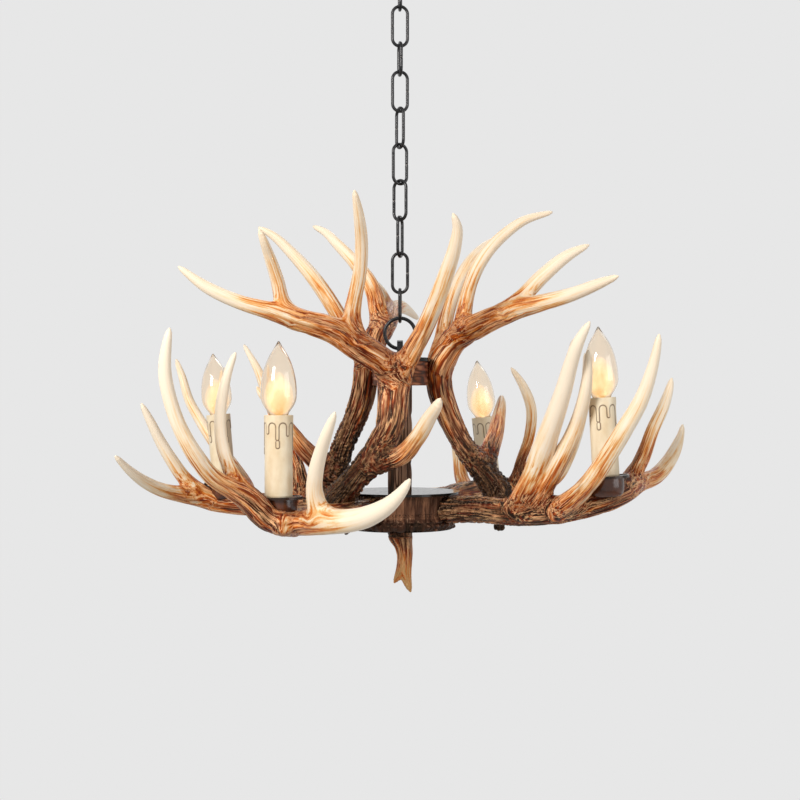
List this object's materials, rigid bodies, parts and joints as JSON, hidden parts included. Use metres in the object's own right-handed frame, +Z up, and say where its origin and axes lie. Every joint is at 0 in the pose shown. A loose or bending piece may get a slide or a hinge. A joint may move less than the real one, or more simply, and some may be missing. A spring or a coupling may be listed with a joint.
{
  "type": "antler chandelier",
  "caption": "Hanging light of cast antlers round a centre column, with candle lamps on drip pans, lifting eye, ring, chain and ceiling canopy.",
  "frame": {"origin": "centre of the ceiling bracket's top face, at the ceiling", "axes": "+Z up into the ceiling, -Y towards the viewer of the picture, +X to the viewer's right"},
  "size_m": [0.6208, 0.6198, 0.7278],
  "materials": {
    "black_steel": "gloss",
    "pan_metal": "satin",
    "zinc_steel": "satin",
    "brass": "satin",
    "antler_resin": "satin",
    "burr_resin": "gloss",
    "hub_resin": "gloss",
    "candle_cream": "satin",
    "holder_plastic": "satin",
    "rubber": "matte",
    "bulb_glass": "gloss"
  },
  "bodies": {
    "ceiling": {"canopy": "black_steel", "ceiling_bracket": "zinc_steel", "terminal_block": "holder_plastic", "canopy_loop": "black_steel"},
    "link_10": {"chain_link_10": "black_steel"},
    "link_09": {"chain_link_09": "black_steel"},
    "link_08": {"chain_link_08": "black_steel"},
    "link_07": {"chain_link_07": "black_steel"},
    "link_06": {"chain_link_06": "black_steel"},
    "link_05": {"chain_link_05": "black_steel"},
    "link_04": {"chain_link_04": "black_steel"},
    "link_03": {"chain_link_03": "black_steel"},
    "link_02": {"chain_link_02": "black_steel"},
    "link_01": {"chain_link_01": "black_steel"},
    "ring": {"hanging_ring": "black_steel"},
    "lamp": {"burr_hub": "burr_resin", "cable_bush": "rubber", "candle_cup_back_left": "hub_resin", "candle_cup_back_right": "hub_resin", "candle_cup_front_left": "hub_resin", "candle_cup_right": "hub_resin", "candle_sleeve_back_left": "candle_cream", "candle_sleeve_back_right": "candle_cream", "candle_sleeve_front_left": "candle_cream", "candle_sleeve_right": "candle_cream", "centre_rod": "zinc_steel", "column_sleeve": "burr_resin", "drip_pan_back_left": "pan_metal", "drip_pan_back_right": "pan_metal", "drip_pan_front_left": "pan_metal", "drip_pan_right": "pan_metal", "finial": "hub_resin", "foot_studs": "zinc_steel", "hub_bolts": "zinc_steel", "hub_plate": "black_steel", "lampholder_back_left": "holder_plastic", "lampholder_back_right": "holder_plastic", "lampholder_front_left": "holder_plastic", "lampholder_right": "holder_plastic", "lifting_eye": "brass", "lock_nut": "zinc_steel", "lower_antler_back_left": "antler_resin", "lower_antler_back_right": "antler_resin", "lower_antler_front_left": "antler_resin", "lower_antler_right": "antler_resin", "upper_antler_front": "antler_resin", "upper_antler_left": "antler_resin", "upper_antler_right": "antler_resin", "upper_bolts": "zinc_steel", "upper_hub": "hub_resin", "upper_plate": "black_steel"},
    "bulb_front_left": {"bulb_cap_front_left": "brass", "bulb_glass_front_left": "bulb_glass"},
    "bulb_right": {"bulb_cap_right": "brass", "bulb_glass_right": "bulb_glass"},
    "bulb_back_left": {"bulb_cap_back_left": "brass", "bulb_glass_back_left": "bulb_glass"},
    "bulb_back_right": {"bulb_cap_back_right": "brass", "bulb_glass_back_right": "bulb_glass"}
  },
  "joints": [
    {"name": "link_10_swing", "type": "hinge", "parent": "ceiling", "child": "link_10", "pos_m": [0, 0, -0.05], "axis": [1, 0, 0], "range_deg": [-30, 30]},
    {"name": "link_09_swing", "type": "hinge", "parent": "link_10", "child": "link_09", "pos_m": [0, 0, -0.0893], "axis": [0.0872, -0.9962, 0], "range_deg": [-30, 30]},
    {"name": "link_08_swing", "type": "hinge", "parent": "link_09", "child": "link_08", "pos_m": [0, 0, -0.129], "axis": [-0.9962, -0.0872, 0], "range_deg": [-30, 30]},
    {"name": "link_07_swing", "type": "hinge", "parent": "link_08", "child": "link_07", "pos_m": [0, 0, -0.1607], "axis": [-0.1736, 0.9848, 0], "range_deg": [-30, 30]},
    {"name": "link_06_swing", "type": "hinge", "parent": "link_07", "child": "link_06", "pos_m": [0, 0, -0.2004], "axis": [0.9848, 0.1736, 0], "range_deg": [-30, 30]},
    {"name": "link_05_swing", "type": "hinge", "parent": "link_06", "child": "link_05", "pos_m": [0, 0, -0.2401], "axis": [0.454, -0.891, 0], "range_deg": [-25, 25]},
    {"name": "link_04_swing", "type": "hinge", "parent": "link_05", "child": "link_04", "pos_m": [0, 0, -0.2798], "axis": [-0.8829, -0.4695, 0], "range_deg": [-20, 20]},
    {"name": "link_03_swing", "type": "hinge", "parent": "link_04", "child": "link_03", "pos_m": [0, 0, -0.3195], "axis": [-0.7986, 0.6018, 0], "range_deg": [-20, 20]},
    {"name": "link_02_swing", "type": "hinge", "parent": "link_03", "child": "link_02", "pos_m": [0, 0, -0.3592], "axis": [0.2924, 0.9563, 0], "range_deg": [-20, 20]},
    {"name": "link_01_swing", "type": "hinge", "parent": "link_02", "child": "link_01", "pos_m": [0, 0, -0.3989], "axis": [1, 0, 0], "range_deg": [-20, 20]},
    {"name": "ring_swing", "type": "hinge", "parent": "link_01", "child": "ring", "pos_m": [0, 0, -0.4306], "axis": [-0.0349, -0.9994, 0], "range_deg": [-20, 20]},
    {"name": "lamp_swing", "type": "hinge", "parent": "ring", "child": "lamp", "pos_m": [0, 0, -0.4601], "axis": [-1, 0, 0], "range_deg": [-15, 15]},
    {"name": "bulb_front_left_lift", "type": "slide", "parent": "lamp", "child": "bulb_front_left", "axis": [0, 0, 1], "range_m": [0, 0.03]},
    {"name": "bulb_right_lift", "type": "slide", "parent": "lamp", "child": "bulb_right", "axis": [-0.0523, 0, 0.9986], "range_m": [0, 0.03]},
    {"name": "bulb_back_left_lift", "type": "slide", "parent": "lamp", "child": "bulb_back_left", "axis": [-0.0872, 0, 0.9962], "range_m": [0, 0.03]},
    {"name": "bulb_back_right_lift", "type": "slide", "parent": "lamp", "child": "bulb_back_right", "axis": [-0.1045, 0, 0.9945], "range_m": [0, 0.03]}
  ]
}
